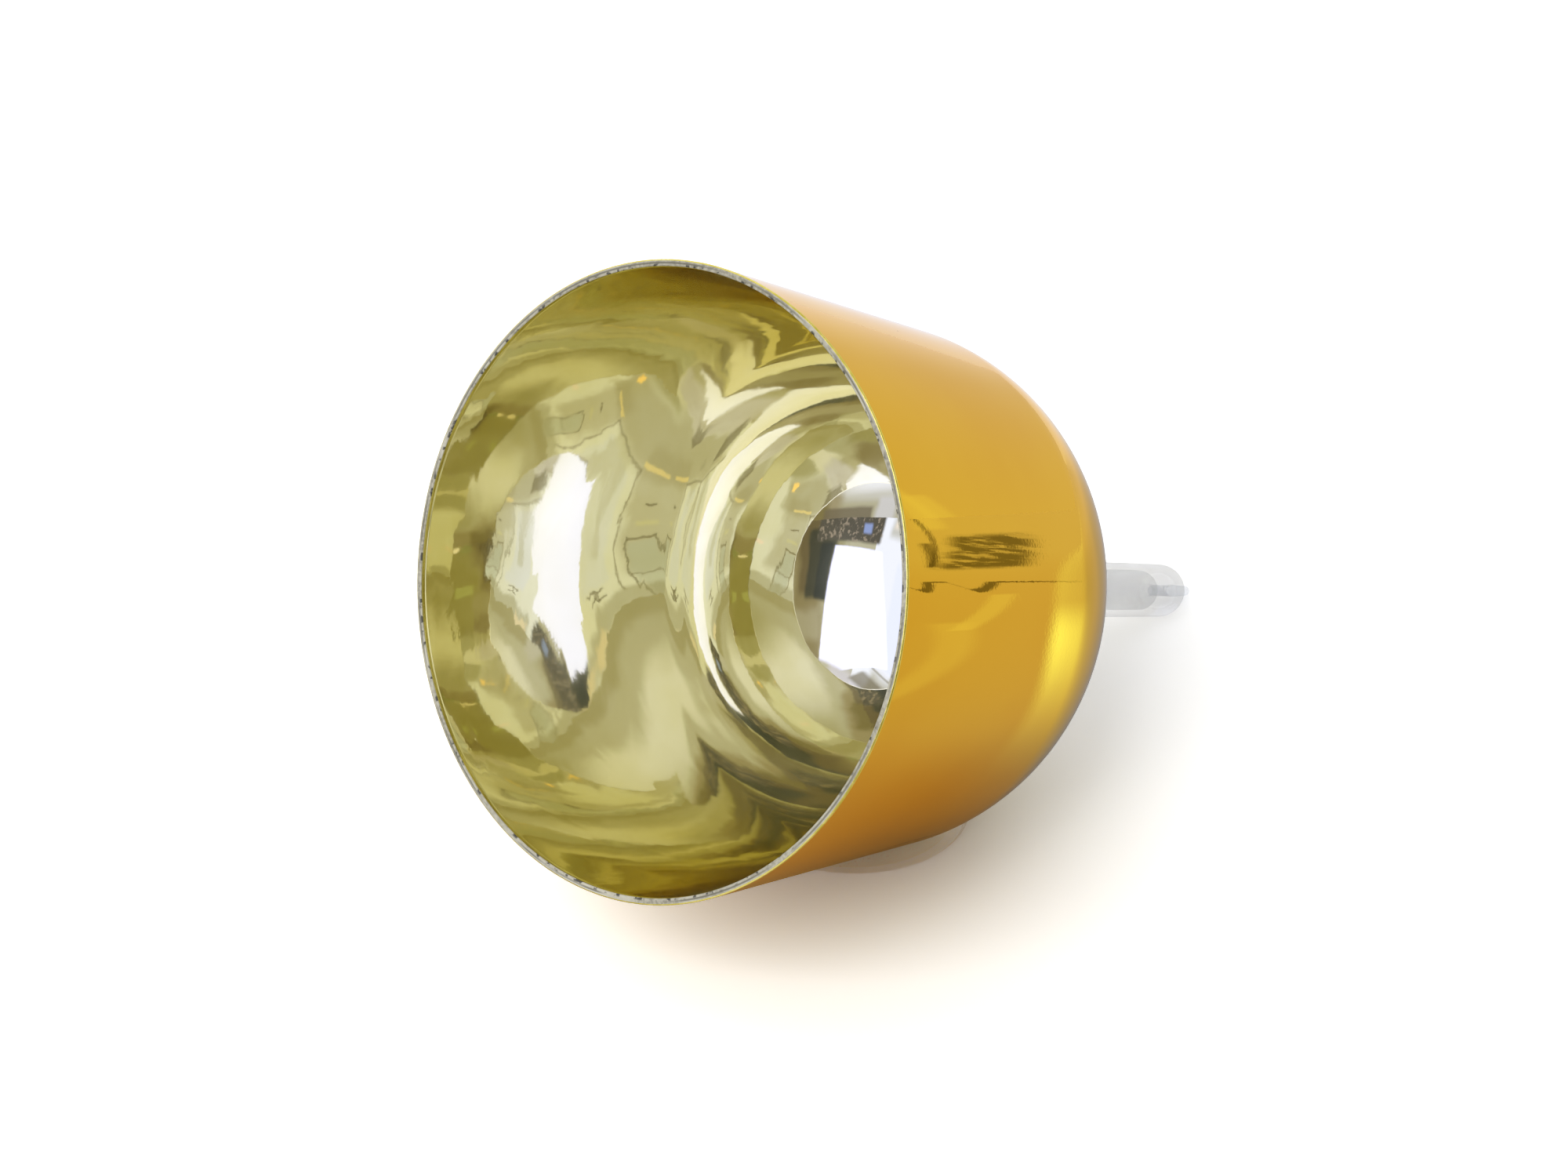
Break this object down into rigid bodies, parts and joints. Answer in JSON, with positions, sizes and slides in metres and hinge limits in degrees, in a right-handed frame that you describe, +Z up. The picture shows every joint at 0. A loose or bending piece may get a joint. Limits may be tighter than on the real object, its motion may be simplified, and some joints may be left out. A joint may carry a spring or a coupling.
{
  "type": "handled crystal singing bowl",
  "caption": "Thin gold-coated crystal singing bowl with a mirror inside and a clear tube handle under its base, lying on its side in a clear rest ring.",
  "frame": {"origin": "middle of the bounding box's foot on the table, z = 0 on the table", "axes": "+Z up from the table, +X along the bowl's axis as seen from above, from the mouth towards the handle's end, +Y to the left of +X; the bowl's axis lies in the XZ plane"},
  "size_m": [0.3436, 0.18, 0.2049],
  "materials": {
    "gold_lacquered_quartz": "glossy orange-gold metallic lacquer on glass outside, pale gold mirror coating inside, pale ground rim",
    "clear_quartz": "clear fire-polished tube",
    "soft_clear_plug": "cloudy, slightly blue soft plug",
    "clear_silicone": "translucent warm-grey silicone cord"
  },
  "bodies": {
    "ring": {"rest_ring": "clear_silicone"},
    "bowl": {"bowl_shell": "gold_lacquered_quartz", "handle_tube": "clear_quartz", "vent_plug": "soft_clear_plug"}
  },
  "joints": [
    {"name": "bowl_lift", "type": "slide", "parent": "ring", "child": "bowl", "axis": [0, 0, 1], "range_m": [0, 0.2]}
  ]
}
